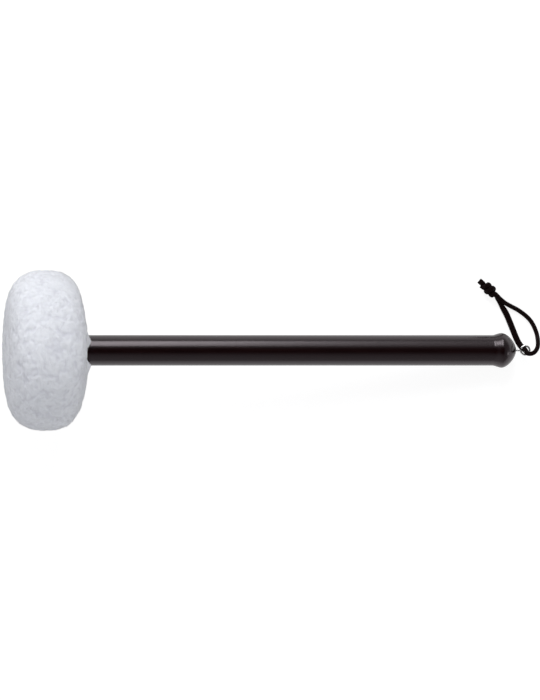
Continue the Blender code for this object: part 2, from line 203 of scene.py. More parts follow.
# Handle: one hardwood rod, turned with a tenon at the head and a flared, domed butt, then sprayed
# with black lacquer. Its straight shaft stays bare of words.
SHAFT_RADIUS = 0.0111
TENON_RADIUS = 0.0080
TENON_CHAMFER = 0.0010
SHOULDER_STATION = 0.0141
TENON_STATION = 0.0020
SHAFT_LENGTH = 0.3132
FLARE_LENGTH = 0.0073
BUTT_RADIUS = 0.0127
DOME_LENGTH = 0.0107
DOME_ROUNDNESS = 1.62
EYE_PILOT_RADIUS = 0.00105
EYE_PILOT_DEPTH = 0.0153
EYE_PILOT_LIP = 0.0001
SCREW_PILOT_RADIUS = 0.0034
SCREW_PILOT_DEPTH = 0.0240
DOME_POINTS = 60
FLARE_POINTS = 30
SHAFT_POINTS = 40
HANDLE_COLUMNS = 160
LACQUER = (0.0042, 0.0006, 0.0008, 1.0)
LACQUER_THIN = (0.0075, 0.0012, 0.0013, 1.0)
LACQUER_ROUGHNESS = (0.22, 0.28)
LACQUER_RELIEF = 0.000006

flare_station = SHOULDER_STATION + SHAFT_LENGTH
crest_station = flare_station + FLARE_LENGTH
butt_station = crest_station + DOME_LENGTH
across_way = np.array([0.0, 1.0, 0.0])
under_way = np.cross(across_way, axis)


def from_axis(under, across, along):
    """World points = middle of the head + under U + across C + along A.

    A is the axis's own direction, C the table's width and U is square to both, towards the table.
    """
    under, across, along = (np.asarray(x)[..., None] for x in (under, across, along))
    return head_middle + under * under_way + across * across_way + along * axis


def smooth_step(x):
    """0 below 0, 1 above 1, and 3x^2 - 2x^3 between."""
    x = np.clip(x, 0, 1)
    return x * x * (3 - 2 * x)


def skin(name, *grids, **values):
    """A mesh over grids of points (tubes, rows, columns, xyz), each wrapped round its columns.

    Rows run along a tube and columns round it. Where a row's points all meet, it is a pole, and its
    triangles of no area are left out. The faces of a grid that comes out inside out are turned round.
    Each value is a number for every point, kept as an attribute that a material can read.
    """
    points, faces, count = [], [], 0
    for grid in grids:
        tubes, rows, columns = grid.shape[:3]
        index = np.arange(tubes * rows * columns).reshape(tubes, rows, columns)
        pole = np.ptp(grid, axis=2).max(axis=2) < 1e-9
        index = np.where(pole[:, :, None], index[:, :, :1], index)
        a, d = index[:, :-1], index[:, 1:]
        b, c = np.roll(a, -1, axis=2), np.roll(d, -1, axis=2)
        found = np.stack([a, b, c, a, c, d], axis=-1).reshape(-1, 3)
        found = found[(found != np.roll(found, 1, axis=1)).all(axis=1)]
        flat = grid.reshape(-1, 3)
        if np.linalg.det(flat[found] - flat.mean(axis=0)).sum() < 0:
            found = found[:, ::-1]
        points.append(flat)
        faces.append(found + count)
        count += len(flat)
    used, faces = np.unique(np.concatenate(faces), return_inverse=True)
    mesh = bpy.data.meshes.new(name)
    mesh.from_pydata(np.concatenate(points)[used].tolist(), [], faces.reshape(-1, 3).tolist())
    mesh.shade_smooth()
    for label, numbers in values.items():
        kept = mesh.attributes.new(label, "FLOAT", "POINT")
        kept.data.foreach_set("value", numbers.ravel()[used].astype(np.float32))
    return mesh


def piece(name, mesh, material, body):
    """A finished piece at the origin, riding on a body and painted with the material given."""
    made = bpy.data.objects.new(name, mesh)
    bpy.context.scene.collection.objects.link(made)
    mesh.materials.append(material)
    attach(made, body)
    return made


def turned(profile, columns):
    """A grid off the lathe: each (radius, station) of the profile carried round the axis.

    Point = (radius cos t) under + (radius sin t) across + station along, for t from 0 to a full turn.
    """
    t = np.linspace(0, 2 * math.pi, columns, endpoint=False)
    radius, station = profile[:, 0, None], profile[:, 1, None]
    return from_axis(radius * np.cos(t), radius * np.sin(t), station + 0 * t)[None]


def handle_profile():
    """(radius, station) down the rod, from the eye's pilot hole to the lag screw's.

    Dome: radius and height are the superellipse r^n + h^n = 1. Flare: the shaft's radius swells to
    the crest's by the smooth step 3s^2 - 2s^3. The tenon's end has a chamfer.
    """
    angle = np.linspace(0, math.pi / 2, DOME_POINTS)
    across = np.maximum(np.sin(angle) ** (2 / DOME_ROUNDNESS), EYE_PILOT_RADIUS / BUTT_RADIUS)
    height = (1 - across**DOME_ROUNDNESS) ** (1 / DOME_ROUNDNESS)
    open_dome = across > across[0] + 1e-6
    dome = np.column_stack([BUTT_RADIUS * across, crest_station + DOME_LENGTH * height])[open_dome]
    share = np.linspace(1, 0, FLARE_POINTS)[1:]
    flare_radius = SHAFT_RADIUS + (BUTT_RADIUS - SHAFT_RADIUS) * smooth_step(share)
    flare = np.column_stack([flare_radius, flare_station + FLARE_LENGTH * share])
    shaft = np.linspace(flare_station, SHOULDER_STATION, SHAFT_POINTS)[1:]
    eye_pilot_end = butt_station - EYE_PILOT_DEPTH
    screw_pilot_end = TENON_STATION + SCREW_PILOT_DEPTH
    return np.vstack(
        [
            [(0, eye_pilot_end), (EYE_PILOT_RADIUS, eye_pilot_end)],
            [(EYE_PILOT_RADIUS, dome[0, 1] - EYE_PILOT_LIP)],
            dome,
            flare,
            np.column_stack([np.full(len(shaft), SHAFT_RADIUS), shaft]),
            [(TENON_RADIUS, SHOULDER_STATION), (TENON_RADIUS, TENON_STATION + TENON_CHAMFER)],
            [(TENON_RADIUS - TENON_CHAMFER, TENON_STATION), (SCREW_PILOT_RADIUS, TENON_STATION)],
            [(SCREW_PILOT_RADIUS, screw_pilot_end), (0, screw_pilot_end)],
        ]
    )


def lacquer_finish():
    """Sprayed black lacquer: a faint brown wood tone, filled grain along the rod and orange peel."""
    material, tree, shader = new_finish(
        "black_lacquer", Specular_IOR_Level=0.56, Specular_Tint=(1.0, 0.90, 0.96, 1.0)
    )
    streak_place = along_the_axis(tree, (1.0, 24.0, 24.0))
    streak = add(tree, "ShaderNodeTexNoise", {"Vector": streak_place, "Scale": 45.0, "Detail": 7.0})
    colour = ramp(tree, streak.outputs["Fac"], (0.35, LACQUER), (0.75, LACQUER_THIN))
    tree.links.new(colour, shader.inputs["Base Color"])
    tree.links.new(grade(tree, streak.outputs["Fac"], *LACQUER_ROUGHNESS), shader.inputs["Roughness"])
    place = add(tree, "ShaderNodeTexCoord").outputs["Object"]
    peel = add(tree, "ShaderNodeTexNoise", {"Vector": place, "Scale": 700.0, "Detail": 2.0})
    relief = add(
        tree,
        "ShaderNodeMath",
        {0: streak.outputs["Fac"], 1: peel.outputs["Fac"]},
        operation="ADD",
    )
    bump(tree, shader, relief.outputs[0], LACQUER_RELIEF)
    return material


handle_mesh = skin("handle", turned(handle_profile(), HANDLE_COLUMNS))
handle_mesh.set_sharp_from_angle(angle=math.radians(35))
handle = piece("lacquered_handle", handle_mesh, lacquer_finish(), "mallet")
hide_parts("handle")


# Fleece cover: a sock of long-pile fleece, drawn over the felt and gathered round the handle with a
# thread in its hem. The pile lies in soft tufts, with painted shade in the creases between them, and
# the gathers spread from the neck over the back.
HEAD_RADIUS = 0.0585
HEAD_HALF_DEPTH = 0.0288
LINING_RADIUS = 0.0486
LINING_HALF_DEPTH = 0.0189
LINING_FLAT_RADIUS = 0.0443
LINING_RIM_HALF_WIDTH = 0.0141
NECK_BORE = 0.0114
NECK_LIP = 0.0030
NECK_HEIGHT = 0.0038
NECK_SPREAD = 0.0100
FRONT_FULLNESS = (4.5, 2.3)
BACK_FULLNESS = (3.8, 2.7)
BACK_SHARE = 0.90
PROFILE_POINTS = 200
LIP_POINTS = 12
GROOVE_RADIUS = 0.0136
GROOVE_STATIONS = (0.0245, 0.0267)
GATHER_DEPTH = 0.0013
GATHER_SPREAD = 0.0150
GATHER_WAVES = ((4, 0.60, math.radians(148)), (5, 0.45, math.radians(159)))
NECK_SCALLOP = 0.0020
SCALLOP_SPREAD = 0.0040
NECK_SET_BACK = 0.0030
SET_BACK_SPREAD = 0.0100
TUFT_SIZE = 0.0060
TUFT_DEPTH = 0.0008
TUFT_LEVEL = 0.25
TUFT_STRAY = 0.0022
STRAY_SIZE = 0.0090
CREASE_DROP = 0.6
CURL_SIZE = 0.0030
CURL_DEPTH = 0.0004
SWELL_SIZE = 0.0220
SWELL_DEPTH = 0.0003
PILE_HEIGHT = 0.0007
FLEECE_ROWS = 300
FLEECE_COLUMNS = 560
POLE_ROWS = 4
PILE_FIBRES = 98000
PILE_BATCHES = 7
PILE_LENGTHS = (0.0012, 0.0024)
PILE_ROOT_DEPTH = 0.0003
FIBRE_RADIUS = 0.00006
FIBRE_RISE = (0.30, 0.85)
FIBRE_SIDESTEP = 0.5
OWN_WAY = 0.45
SHARED_WAY = 0.60
SHARED_WAY_SIZE = 0.0060
FLEECE_LIGHT = (0.90, 0.925, 0.99, 1.0)
# Painted shade: the colour that the pile is greyed to in the deepest creases between tufts.
FLEECE_PAINTED_SHADE = (0.785, 0.80, 0.86, 1.0)


def scatter(cubes, seed):
    """Three numbers from 0 to 1 for each cube, hashed from its whole coordinates and a seed."""
    whole = cubes.astype(np.int64).astype(np.uint64)
    mixed = whole[..., 0] * np.uint64(73856093) ^ whole[..., 1] * np.uint64(19349663)
    mixed = mixed ^ whole[..., 2] * np.uint64(83492791) ^ np.uint64(seed * 2654435761)
    found = []
    for _ in range(3):
        mixed = mixed * np.uint64(6364136223846793005) + np.uint64(1442695040888963407)
        mixed = mixed ^ (mixed >> np.uint64(29))
        found.append((mixed >> np.uint64(40)).astype(float) / 2.0**24)
    return np.stack(found, axis=-1)


def swell(points, size, seed):
    """Three smooth noises from -1 to 1: numbers at cube corners, blended by 3t^2 - 2t^3."""
    cube = np.floor(points / size)
    t = smooth_step(points / size - cube)
    total = np.zeros_like(points)
    for corner in itertools.product((0, 1), repeat=3):
        weight = np.prod(np.where(corner, t, 1 - t), axis=-1, keepdims=True)
        total += weight * scatter(cube + corner, seed)
    return 2 * total - 1


def tufts(points, size, seed):
    """Soft tufts, one strewn in each cube: their height at each point and the way to their middles.

    Height = ln(sum of e^(-9 d^2)) / 9 over the tufts near a point, at distances d counted in cubes:
    a dome on each and a soft crease between two. The way is the mean way to them, by the same terms.
    """
    cube = np.floor(points / size)
    total, way = np.zeros(points.shape[:-1]), np.zeros_like(points)
    for shift in itertools.product((-1, 0, 1), repeat=3):
        toward = cube + shift + scatter(cube + shift, seed) - points / size
        weight = np.exp(-9 * (toward**2).sum(-1))
        total += weight
        way += weight[..., None] * toward
    return np.log(total) / 9, way / total[..., None]


def along_line(points, step=None, count=None):
    """Points at even steps along a line through the points given, and their distances along it.

    The steps are about as long as the step given, or there are as many points as the count says.
    """
    along = np.concatenate([[0], np.cumsum(np.linalg.norm(np.diff(points, axis=0), axis=1))])
    even = np.linspace(0, along[-1], count or round(along[-1] / step) + 1)
    return np.column_stack([np.interp(even, along, x) for x in points.T]), even


def fleece_profile(rows):
    """(radius, station) over the sock's outer side, at even steps from neck to front.

    Each half is a superellipse: (station / depth)^m + (radius / head radius)^n = 1. The neck adds
    its height times exp(-(radius - neck radius) / spread), and its lip is a quarter of a circle. The
    back's half stops at its share of a quarter turn, where the lip starts.
    """

    def half(fullness, angles):
        n, m = fullness
        depth = np.sin(angles)
        return HEAD_RADIUS * (1 - depth**m) ** (1 / n), HEAD_HALF_DEPTH * depth

    neck_radius = NECK_BORE + NECK_LIP
    quarter = math.pi / 2
    radius, station = half(BACK_FULLNESS, quarter * np.linspace(BACK_SHARE, 0, PROFILE_POINTS))
    station = station + NECK_HEIGHT * np.exp(-(radius - neck_radius) / NECK_SPREAD)
    front_angles = quarter * np.linspace(0, 1, PROFILE_POINTS)[1:]
    front_radius, front_station = half(FRONT_FULLNESS, front_angles)
    turn = np.linspace(math.pi, quarter, LIP_POINTS)
    lip_radius = neck_radius + NECK_LIP * np.cos(turn)
    lip_station = HEAD_HALF_DEPTH + NECK_HEIGHT - NECK_LIP + NECK_LIP * np.sin(turn)
    radius = np.concatenate([lip_radius, radius, front_radius])
    station = np.concatenate([lip_station, station, -front_station])
    return along_line(np.column_stack([radius, station]), count=rows)[0]


def outward(grid):
    """Unit normals of a wrapped grid, facing away from the middle of the head: the cross product of
    its steps along and round."""
    down = np.gradient(grid, axis=0)
    round_it = np.roll(grid, -1, axis=1) - np.roll(grid, 1, axis=1)
    normal = np.cross(round_it, down)
    length = np.linalg.norm(normal, axis=-1, keepdims=True)
    normal = np.where(length > 1e-12, normal / np.maximum(length, 1e-12), -axis)
    facing = ((grid - head_middle) * normal).sum(-1, keepdims=True)
    return normal * np.sign(facing.mean())


def fleece_grid():
    """The outer side with the relief of its pile, pressed flat where it meets the table, its creases
    as numbers from 0 on a tuft to 1 between tufts, and the way from each point to its tuft.

    Relief along the normal = swell + tufts + curls + gathers, less the height that the fibres add.
    Gathers are two waves round the neck, each given by its count, share and first peak, that die
    away by exp(-(radius - neck radius) / spread). The same waves scallop the neck's lip along the
    axis, and the lip is set back by the same kind of term. The relief fades out on the front's pole.
    """
    profile = fleece_profile(FLEECE_ROWS)
    smooth = turned(profile, FLEECE_COLUMNS)[0]
    normal = outward(smooth)
    strayed = smooth + TUFT_STRAY * swell(smooth, STRAY_SIZE, seed=5)
    dome, way = tufts(strayed, TUFT_SIZE, seed=1)
    curl = tufts(strayed, CURL_SIZE, seed=2)[0]
    heave = swell(smooth, SWELL_SIZE, seed=3)[..., 0]
    t = np.linspace(0, 2 * math.pi, FLEECE_COLUMNS, endpoint=False)
    fold = sum(share * np.cos(count * (t - peak)) for count, share, peak in GATHER_WAVES)
    radius = profile[:, 0, None]
    past_lip = np.maximum(radius - NECK_BORE - NECK_LIP, 0)
    at_back = profile[:, 1, None] > 0
    gathered = fold * np.exp(-past_lip / GATHER_SPREAD) * at_back
    lip = np.clip((radius - NECK_BORE) / NECK_LIP, 0, 1)
    pole = np.clip((FLEECE_ROWS - 1 - np.arange(FLEECE_ROWS)) / POLE_ROWS, 0, 1)[:, None]
    height = (
        SWELL_DEPTH * heave
        - PILE_HEIGHT
        + TUFT_DEPTH * (dome + TUFT_LEVEL)
        + CURL_DEPTH * (curl + TUFT_LEVEL)
        + GATHER_DEPTH * gathered
    )
    near = (0.5 + 0.5 * lip) * at_back
    scallop = NECK_SCALLOP * fold * np.exp(-past_lip / SCALLOP_SPREAD)
    slide = near * (scallop - NECK_SET_BACK * np.exp(-past_lip / SET_BACK_SPREAD))
    moved = smooth + normal * (height * lip * pole)[..., None] + axis * slide[..., None]
    moved[..., 2] = np.maximum(moved[..., 2], 0.0)
    # The crease numbers drive the painted shade in the fleece's colour.
    return moved, np.clip(-(dome + curl) / 2 / CREASE_DROP, 0, 1), way


def lining_grid():
    """The sock's inner side: the cavity round the felt, the neck's bore and the hem's groove."""
    groove_front, groove_back = GROOVE_STATIONS
    profile = np.array(
        [
            (0, -LINING_HALF_DEPTH),
            (LINING_FLAT_RADIUS, -LINING_HALF_DEPTH),
            (LINING_RADIUS, -LINING_RIM_HALF_WIDTH),
            (LINING_RADIUS, LINING_RIM_HALF_WIDTH),
            (LINING_FLAT_RADIUS, LINING_HALF_DEPTH),
            (NECK_BORE, LINING_HALF_DEPTH),
            (NECK_BORE, groove_front),
            (GROOVE_RADIUS, groove_front),
            (GROOVE_RADIUS, groove_back),
            (NECK_BORE, groove_back),
        ]
    )
    return turned(profile, FLEECE_COLUMNS)[0]


def pile_grids(outside, crease, way):
    """Fibres strewn evenly over the fleece, as thin three-sided bars that taper to a point.

    A fibre of length L starts at a random place, a little under the skin, and runs
    L (t f + (a t - t^2 / 2) n + t^2 s / 2). Here n is the normal, s a random step to the side, and f
    the way that the pile lies: towards the middle of its tuft, with some shared with the fibres near
    it and some of its own. A fibre has the crease of its root all along.
    """
    rng = np.random.default_rng(seed=11)
    normal = outward(outside)
    a, b = outside[:-1], np.roll(outside, -1, axis=1)[:-1]
    c, d = outside[1:], np.roll(outside, -1, axis=1)[1:]
    area = np.linalg.norm(np.cross(b - a, c - a), axis=-1).ravel()
    pick = np.searchsorted(np.cumsum(area) / area.sum(), rng.random(PILE_FIBRES))
    u, v = rng.random((2, PILE_FIBRES, 1))
    corner = [x.reshape(-1, 3)[pick] for x in (a, b, c, d)]
    root = (1 - u) * ((1 - v) * corner[0] + v * corner[1]) + u * ((1 - v) * corner[2] + v * corner[3])
    n = normal[:-1].reshape(-1, 3)[pick]
    lie = way[:-1].reshape(-1, 3)[pick] + OWN_WAY * rng.normal(size=(PILE_FIBRES, 3))
    lie = lie + SHARED_WAY * swell(root, SHARED_WAY_SIZE, seed=7)
    lie = lie - (lie * n).sum(-1, keepdims=True) * n
    lie /= np.linalg.norm(lie, axis=-1, keepdims=True)
    bend = np.cross(n, lie) * rng.normal(scale=FIBRE_SIDESTEP, size=(PILE_FIBRES, 1))
    length = rng.uniform(*PILE_LENGTHS, (PILE_FIBRES, 1, 1))
    t = np.array([0.0, 0.0, 0.55, 1.0])[None, :, None]
    rise = rng.uniform(*FIBRE_RISE, (PILE_FIBRES, 1, 1)) * t - 0.5 * t * t
    middle = root[:, None] + length * (
        t * lie[:, None] + rise * n[:, None] + 0.5 * t * t * bend[:, None]
    )
    middle = middle - PILE_ROOT_DEPTH * n[:, None]
    middle[..., 2] = np.maximum(middle[..., 2], FIBRE_RADIUS)
    side = np.cross(lie, n)[:, None, None]
    width = FIBRE_RADIUS * np.array([0.0, 1.0, 0.9, 0.0])[None, :, None, None]
    turn = np.radians([0, 120, 240])[None, None, :, None]
    fibres = middle[:, :, None] + width * (np.cos(turn) * n[:, None, None] + np.sin(turn) * side)
    # The crease at each fibre's root sets the painted shade of the whole fibre.
    own = crease[:-1].reshape(-1)[pick]
    return fibres, np.broadcast_to(own[:, None, None], fibres.shape[:3])


def fleece_finish(name, translucency, reach, sheen):
    """White pile: matt and softly translucent, cloudy at random, and greyer in the creases between
    tufts, where shade is painted into its colour.
    """
    material, tree, shader = new_finish(
        name,
        Roughness=0.95,
        Specular_IOR_Level=0.15,
        Sheen_Weight=sheen,
        Sheen_Roughness=0.6,
        Subsurface_Weight=translucency,
        Subsurface_Radius=(reach, reach, reach),
        Subsurface_Scale=1.0,
    )
    place = add(tree, "ShaderNodeTexCoord").outputs["Object"]
    cloud = add(tree, "ShaderNodeTexNoise", {"Vector": place, "Scale": 220.0, "Detail": 3.0})
    # Painted shade: the deeper the crease between tufts, the greyer the colour. The cloud adds tone at
    # random.
    crease = add(tree, "ShaderNodeAttribute", attribute_name="crease")
    painted_shade_and_cloud = add(
        tree,
        "ShaderNodeMath",
        {0: cloud.outputs["Fac"], 1: 0.3, 2: crease.outputs["Fac"]},
        operation="MULTIPLY_ADD",
    )
    colour = ramp(tree, painted_shade_and_cloud.outputs[0], (0.55, FLEECE_LIGHT), (1.0, FLEECE_PAINTED_SHADE))
    tree.links.new(colour, shader.inputs["Base Color"])
    crimp = add(
        tree,
        "ShaderNodeTexNoise",
        {"Vector": place, "Scale": 1400.0, "Detail": 3.0, "Distortion": 1.0},
    )
    bump(tree, shader, crimp.outputs["Fac"], 0.0001)
    return material


outside, crease, way = fleece_grid()
fleece_white = fleece_finish("white_fleece", translucency=0.3, reach=0.003, sheen=0.1)
pile_white = fleece_finish("white_pile", translucency=1.0, reach=0.0002, sheen=0.45)
lining = lining_grid()
sock = np.concatenate([lining, outside])[None]
sock_crease = np.concatenate([np.zeros(lining.shape[:2]), crease])
sock_mesh = skin("fleece_sock", sock, crease=sock_crease)
cover = piece("fleece_sock", sock_mesh, fleece_white, "mallet")
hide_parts("fleece_cover")
fibres, fibre_crease = pile_grids(outside, crease, way)
for part, rows in enumerate(np.array_split(np.arange(PILE_FIBRES), PILE_BATCHES)):
    name = f"fleece_pile_{part}"
    pile_mesh = skin(name, fibres[rows], crease=fibre_crease[rows])
    piece(name, pile_mesh, pile_white, "mallet")


# Draw thread: waxed cotton in the hem, pulled tight and knotted out of sight between the fleece and
# the handle.
THREAD_LIGHT = (0.82, 0.79, 0.71, 1.0)
THREAD_SHADE = (0.60, 0.57, 0.49, 1.0)


def thread_finish():
    """Waxed cotton: its plies as bands along the thread, with a dull wax gloss."""
    material, tree, shader = new_finish("waxed_cotton", Roughness=0.6)
    place = along_the_axis(tree)
    plies = add(tree, "ShaderNodeTexWave", {"Vector": place, "Scale": 400.0, "Distortion": 1.0})
    colour = ramp(tree, plies.outputs["Fac"], (0.2, THREAD_SHADE), (0.8, THREAD_LIGHT))
    tree.links.new(colour, shader.inputs["Base Color"])
    bump(tree, shader, plies.outputs["Fac"], 0.0001)
    return material


refinish("draw_thread", thread_finish())


# Screw eye: one nickel-plated wire, threaded where it goes into the butt and bent to a ring that
# stops just short of closing. The ring faces up.
WIRE_RADIUS = 0.00075
RING_RADIUS = 0.0033
RING_STANDOFF = 0.0068
NECK_BEND = 0.0016
SHANK_DEPTH = 0.0150
RING_END = math.radians(-63)
NECK_BEND_POINTS = 20
RING_POINTS = 160
EYE_STEP = 0.00012
WIRE_COLUMNS = 20
WIRE_END_ROUNDING = 0.0003
THREAD_PITCH = 0.0011
THREAD_HEIGHT = 0.00012
THREAD_RUNOUT = 0.0010
PLAIN_SHANK = 0.0020
NICKEL = (0.86, 0.86, 0.86, 1.0)
NICKEL_DULL = (0.72, 0.71, 0.70, 1.0)

ring_station = butt_station + RING_STANDOFF


def eye_line():
    """(across, station) along the wire: a straight shank, a small bend one way, then the ring."""
    drop = math.sqrt((RING_RADIUS + NECK_BEND) ** 2 - NECK_BEND**2)
    meeting = math.atan2(drop, NECK_BEND)
    turn = np.linspace(0, meeting, NECK_BEND_POINTS)
    neck = [NECK_BEND * (np.cos(turn) - 1), ring_station - drop + NECK_BEND * np.sin(turn)]
    turn = np.linspace(meeting - math.pi, RING_END - 2 * math.pi, RING_POINTS)[1:]
    ring = [RING_RADIUS * np.cos(turn), ring_station + RING_RADIUS * np.sin(turn)]
    return np.vstack([[(0, butt_station - SHANK_DEPTH)], np.column_stack(neck), np.column_stack(ring)])


def eye_grid():
    """A round bar along the wire's line, in the plane of the axis and the table's width.

    Its radius is r + h cos(2 pi s / pitch - t) at the distance s along it, where the thread's height h
    fades to nothing short of the butt. A quarter of an ellipse rounds off each end.
    """
    line, s = along_line(eye_line(), EYE_STEP)
    ahead = np.gradient(line, axis=0)
    ahead /= np.linalg.norm(ahead, axis=1, keepdims=True)
    t = np.linspace(0, 2 * math.pi, WIRE_COLUMNS, endpoint=False)
    buried = np.clip((SHANK_DEPTH - PLAIN_SHANK - s) / THREAD_RUNOUT, 0, 1)[:, None]
    ridge = THREAD_HEIGHT * buried * np.cos(2 * math.pi * s[:, None] / THREAD_PITCH - t)
    from_end = np.clip(np.minimum(s, s[-1] - s) / WIRE_END_ROUNDING, 0, 1)[:, None]
    radius = (WIRE_RADIUS + ridge) * np.sqrt(1 - (1 - from_end) ** 2)
    side = np.column_stack([ahead[:, 1], -ahead[:, 0]])
    across = line[:, :1] + radius * np.cos(t) * side[:, :1]
    station = line[:, 1:] + radius * np.cos(t) * side[:, 1:]
    return from_axis(radius * np.sin(t), across, station)[None]


eye_nickel = metal_finish("nickel_plate", NICKEL, NICKEL_DULL, roughness=0.36, patch=0.0015)
eye = piece("nickel_screw_eye", skin("screw_eye", eye_grid()), eye_nickel, "mallet")
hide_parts("screw_eye")


# Wrist cord: black braided nylon, sixteen yarns woven as a flat-oval tube round a core. It goes under
# the ring's wire, up through the ring and back over the wire, and one end is wound round the other.
RING = np.array(frame["joints"][0]["pos_m"])
FLAT_HALF_WIDTHS = (0.00230, 0.00150)
ROUND_HALF_WIDTHS = (0.00170, 0.00160)
TAIL_HALF_WIDTHS = (0.00215, 0.00140)
CORE_HALF_WIDTHS = (0.00110, 0.00095)
KNOT_HALF_WIDTHS = (0.00200, 0.00130)
KNOT_TURNS = 2.25
KNOT_END_RADIUS = 0.00220
KNOT_MIDDLE_RADIUS = 0.00305
KNOT_PITCH = 0.0040
KNOT_CENTRE = (-0.0260, 0.0443)
KNOT_DIRECTION = math.radians(139)
KNOT_LENGTH = 0.0096
LONG_TAIL = 0.0052
SHORT_TAIL = 0.0020
TURN_POINTS = 36
SPAN_POINTS = 30
WINDING_LEAD = 0.0040
WINDING_EASE = 0.0060
TAIL_TO_CORE = (0.0015, 0.0010)
CORE_TO_FLAT = 0.0150
FLAT_TO_ROUND = (0.0040, 0.0060)
ROUND_TO_KNOT = 0.0050
TABLE_CLEARANCE = 0.0001
YARNS_EACH_WAY = 8
BRAID_PITCH = 0.0090
YARN_HALF_WIDTH = 0.00043
YARN_HALF_THICKNESS = 0.00018
YARN_STEP = 0.00022
YARN_SIDES = 6
CORE_COLUMNS = 20
CORE_DEPTH = 3.2
TIP_SWELL = 0.0012
TIP_ROUNDING = 0.0006
NYLON = (0.0024, 0.0006, 0.0007, 1.0)
NYLON_WORN = (0.0062, 0.0032, 0.0034, 1.0)

# Route of the two legs: x and y from the ring's middle, z above the table. The first leg runs from
# the knot down under the ring's wire, and the second one over the wire and back to the knot.
LEG_UNDER_THE_WIRE = (
    (-0.0204, 0.0378, 0.00265),
    (-0.0184, 0.0349, 0.00200),
    (-0.0163, 0.0312, 0.00170),
    (-0.0136, 0.0265, 0.00160),
    (-0.0111, 0.0207, 0.00160),
    (-0.0088, 0.0149, 0.00160),
    (-0.0069, 0.0102, 0.00170),
    (-0.0057, 0.0074, 0.00235),
    (-0.0044, 0.0050, 0.00340),
    (-0.0030, 0.0030, 0.00505),
)
THROUGH_THE_RING = (
    (-0.0015, 0.0016, 0.00710),
    (0.0000, 0.0000, 0.01020),
    (0.0012, -0.0018, 0.01300),
)
LEG_OVER_THE_WIRE = (
    (0.0028, -0.0025, 0.01495),
    (0.0047, -0.0023, 0.01620),
    (0.0065, -0.0013, 0.01675),
    (0.0079, 0.0005, 0.01665),
    (0.0088, 0.0026, 0.01585),
    (0.0091, 0.0050, 0.01420),
    (0.0091, 0.0075, 0.01150),
    (0.0089, 0.0098, 0.00690),
    (0.0084, 0.0124, 0.00410),
    (0.0075, 0.0151, 0.00265),
    (0.0063, 0.0179, 0.00195),
    (0.0047, 0.0207, 0.00175),
    (0.0022, 0.0237, 0.00170),
    (-0.0010, 0.0265, 0.00170),
    (-0.0053, 0.0295, 0.00175),
    (-0.0104, 0.0322, 0.00215),
    (-0.0143, 0.0344, 0.00340),
    (-0.0176, 0.0370, 0.00470),
    (-0.0203, 0.0395, 0.00570),
)


def smooth_line(points):
    """The Catmull-Rom curve: between b and c, b + t/2 ((c-a) + t (2a-5b+4c-d + t (3b-a-3c+d)))."""
    padded = np.vstack([2 * points[0] - points[1], points, 2 * points[-1] - points[-2]])
    a, b, c, d = (padded[i : len(padded) - 3 + i, None] for i in range(4))
    t = np.linspace(0, 1, SPAN_POINTS, endpoint=False)[None, :, None]
    curve = b + 0.5 * t * ((c - a) + t * ((2 * a - 5 * b + 4 * c - d) + t * (3 * b - a - 3 * c + d)))
    return np.vstack([curve.reshape(-1, 3), points[-1]])


def cord_route():
    """The cord's centre line from its long tail to its short one, and the knot's middle and direction.

    The core strand lies straight. The other starts on top and winds round it as a helix, whose
    radius over the share s of the way is end + (middle - end) 4 s (1 - s).
    """
    forward = np.array([math.cos(KNOT_DIRECTION), math.sin(KNOT_DIRECTION), 0.0])
    right = np.array([math.sin(KNOT_DIRECTION), -math.cos(KNOT_DIRECTION), 0.0])
    middle = np.array([*KNOT_CENTRE, KNOT_MIDDLE_RADIUS + KNOT_HALF_WIDTHS[1] + TABLE_CLEARANCE])
    half = KNOT_LENGTH / 2
    core = middle + np.array([[half + LONG_TAIL], [half], [0.0], [-half]]) * forward
    share = np.linspace(0, 1, TURN_POINTS)[:, None]
    angle = math.pi / 2 + 2 * math.pi * KNOT_TURNS * share
    radius = KNOT_END_RADIUS + (KNOT_MIDDLE_RADIUS - KNOT_END_RADIUS) * 4 * share * (1 - share)
    wrapped = KNOT_TURNS * KNOT_PITCH
    turns = (
        middle
        + (share - 0.5) * wrapped * forward
        + radius * (np.cos(angle) * right + np.sin(angle) * [0, 0, 1])
    )
    lead_in = turns[0] - forward * (half - wrapped / 2)
    tail = turns[-1] + forward * SHORT_TAIL
    legs = np.array([*LEG_UNDER_THE_WIRE, *THROUGH_THE_RING, *LEG_OVER_THE_WIRE])
    below_ring = [RING[0], RING[1], 0.0]
    route = np.vstack([core, legs, lead_in, turns[1:], tail]) + below_ring
    return smooth_line(route), middle + below_ring, forward


route, knot_middle, knot_forward = cord_route()
cord_line, cord_s = along_line(route, YARN_STEP)
ring_row = int(np.linalg.norm(cord_line - RING, axis=1).argmin())
cord_length = cord_s[-1]

# The windings' mean radius is their ends' and two thirds of what they swell by in the middle.
wound_radius = (KNOT_END_RADIUS + 2 * KNOT_MIDDLE_RADIUS) / 3
wound_length = KNOT_TURNS * math.hypot(2 * math.pi * wound_radius, KNOT_PITCH)
winding_start = cord_length - SHORT_TAIL - wound_length


